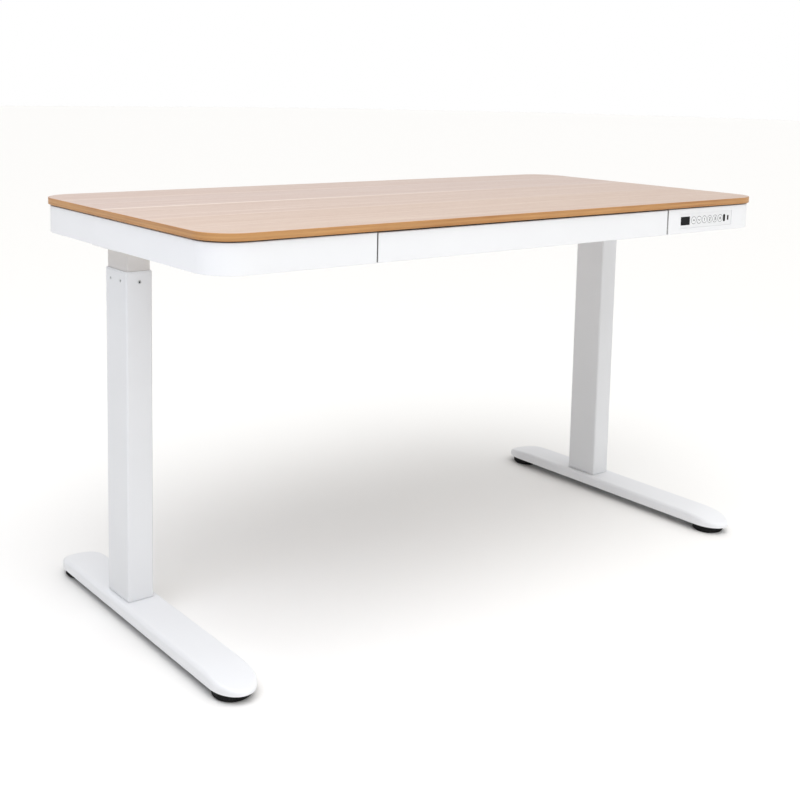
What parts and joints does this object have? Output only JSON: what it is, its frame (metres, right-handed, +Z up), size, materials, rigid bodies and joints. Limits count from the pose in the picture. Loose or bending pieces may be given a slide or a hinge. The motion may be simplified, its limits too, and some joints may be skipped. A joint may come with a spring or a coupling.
{
  "type": "height adjustable standing desk",
  "caption": "Electric sit-stand desk: rounded oak-look top on a white steel apron with a shallow drawer and control panel, on two telescopic legs with long feet.",
  "frame": {"origin": "on the floor, under the centre of the desktop, with the legs at their lowest", "axes": "+X along the desk to the right as seen from the front, +Y towards the back, +Z up"},
  "size_m": [1.2, 0.6, 0.668],
  "materials": {
    "desktop_laminate": "light oak laminate, satin",
    "edge_band": "golden oak edge band, satin",
    "spacer_foam": "dark foam tape, matt",
    "white_powder_coat": "white powder coat, satin",
    "zinc_steel": "zinc plated steel",
    "screw_steel": "ground steel",
    "screw_black": "dark oxide",
    "glide_plastic": "black nylon, matt",
    "sleeve_plastic": "grey acetal",
    "nut_bronze": "machined bronze",
    "gearbox_alloy": "die cast alloy",
    "motor_steel": "black steel can",
    "black_plastic": "black ABS, fine texture",
    "bezel_plastic": "white ABS, satin",
    "button_plastic": "white ABS caps, satin",
    "circuit_laminate": "green circuit board",
    "display_black": "black acrylic window, gloss",
    "port_steel": "nickel plated shell",
    "cable_pvc": "black PVC sheath"
  },
  "bodies": {
    "base": {"left_foot_shell": "white_powder_coat", "right_foot_shell": "white_powder_coat", "left_foot_stiffener": "zinc_steel", "right_foot_stiffener": "zinc_steel", "left_outer_tube": "white_powder_coat", "right_outer_tube": "white_powder_coat", "left_tube_base_plate": "zinc_steel", "right_tube_base_plate": "zinc_steel", "foot_bolts": "zinc_steel", "guide_sleeves": "sleeve_plastic", "sleeve_screws": "screw_black", "glide_inserts": "zinc_steel", "nut_tubes": "zinc_steel", "spindle_nuts": "nut_bronze"},
    "top": {"desktop_board": "desktop_laminate", "edge_band": "edge_band", "shadow_spacer": "spacer_foam", "left_apron": "white_powder_coat", "right_apron": "white_powder_coat", "rear_apron": "white_powder_coat", "left_inner_tube": "white_powder_coat", "right_inner_tube": "white_powder_coat", "left_mount_plate": "white_powder_coat", "right_mount_plate": "white_powder_coat", "leg_bolts": "zinc_steel", "left_rail": "white_powder_coat", "right_rail": "white_powder_coat", "crossbeam": "white_powder_coat", "board_screws": "zinc_steel", "left_drawer_runner": "zinc_steel", "right_drawer_runner": "zinc_steel", "control_bezel": "bezel_plastic", "control_circuit": "circuit_laminate", "display_window": "display_black", "usb_a_port": "port_steel", "usb_c_port": "port_steel", "control_box": "black_plastic", "power_inlet": "black_plastic", "lift_motor": "motor_steel", "left_gearbox": "gearbox_alloy", "right_gearbox": "gearbox_alloy", "motor_cable": "cable_pvc", "panel_cable": "cable_pvc"},
    "drawer": {"drawer_front": "white_powder_coat", "drawer_tray": "white_powder_coat", "left_drawer_slide": "zinc_steel", "right_drawer_slide": "zinc_steel"},
    "left_spindle": {"left_spindle": "screw_steel"},
    "right_spindle": {"right_spindle": "screw_steel"},
    "drive_shaft": {"drive_shaft": "screw_steel"},
    "left_front_glide": {"left_front_glide": "glide_plastic"},
    "left_rear_glide": {"left_rear_glide": "glide_plastic"},
    "right_front_glide": {"right_front_glide": "glide_plastic"},
    "right_rear_glide": {"right_rear_glide": "glide_plastic"},
    "button_1": {"button_1": "button_plastic"},
    "button_2": {"button_2": "button_plastic"},
    "button_3": {"button_3": "button_plastic"},
    "button_4": {"button_4": "button_plastic"},
    "button_5": {"button_5": "button_plastic"},
    "button_6": {"button_6": "button_plastic"}
  },
  "joints": [
    {"name": "lift", "type": "slide", "parent": "base", "child": "top", "axis": [0, 0, 1], "range_m": [0, 0.45]},
    {"name": "left_spindle_turn", "type": "hinge", "parent": "top", "child": "left_spindle", "pos_m": [-0.544, 0.068, 0.3], "axis": [0, 0, 1], "range_deg": [-30, 10155]},
    {"name": "right_spindle_turn", "type": "hinge", "parent": "top", "child": "right_spindle", "pos_m": [0.544, 0.068, 0.3], "axis": [0, 0, 1], "range_deg": [-30, 10155]},
    {"name": "shaft_turn", "type": "hinge", "parent": "top", "child": "drive_shaft", "pos_m": [0, 0.068, 0.6323], "axis": [1, 0, 0], "range_deg": [-30, 10155]},
    {"name": "drawer_slide", "type": "slide", "parent": "top", "child": "drawer", "axis": [0, -1, 0], "range_m": [0, 0.2]},
    {"name": "left_front_glide_screw", "type": "slide", "parent": "base", "child": "left_front_glide", "axis": [0, 0, -1], "range_m": [0, 0.008]},
    {"name": "left_rear_glide_screw", "type": "slide", "parent": "base", "child": "left_rear_glide", "axis": [0, 0, -1], "range_m": [0, 0.008]},
    {"name": "right_front_glide_screw", "type": "slide", "parent": "base", "child": "right_front_glide", "axis": [0, 0, -1], "range_m": [0, 0.008]},
    {"name": "right_rear_glide_screw", "type": "slide", "parent": "base", "child": "right_rear_glide", "axis": [0, 0, -1], "range_m": [0, 0.008]},
    {"name": "button_1_press", "type": "slide", "parent": "top", "child": "button_1", "axis": [0, 1, 0], "range_m": [0, 0.0006], "stiffness_N_per_m": 800},
    {"name": "button_2_press", "type": "slide", "parent": "top", "child": "button_2", "axis": [0, 1, 0], "range_m": [0, 0.0006], "stiffness_N_per_m": 800},
    {"name": "button_3_press", "type": "slide", "parent": "top", "child": "button_3", "axis": [0, 1, 0], "range_m": [0, 0.0006], "stiffness_N_per_m": 800},
    {"name": "button_4_press", "type": "slide", "parent": "top", "child": "button_4", "axis": [0, 1, 0], "range_m": [0, 0.0006], "stiffness_N_per_m": 800},
    {"name": "button_5_press", "type": "slide", "parent": "top", "child": "button_5", "axis": [0, 1, 0], "range_m": [0, 0.0006], "stiffness_N_per_m": 800},
    {"name": "button_6_press", "type": "slide", "parent": "top", "child": "button_6", "axis": [0, 1, 0], "range_m": [0, 0.0006], "stiffness_N_per_m": 800}
  ],
  "couplings": [
    {"joint": "left_spindle_turn", "follows": "lift", "rad_per_m": 392.7},
    {"joint": "right_spindle_turn", "follows": "lift", "rad_per_m": 392.7},
    {"joint": "shaft_turn", "follows": "lift", "rad_per_m": 392.7}
  ]
}
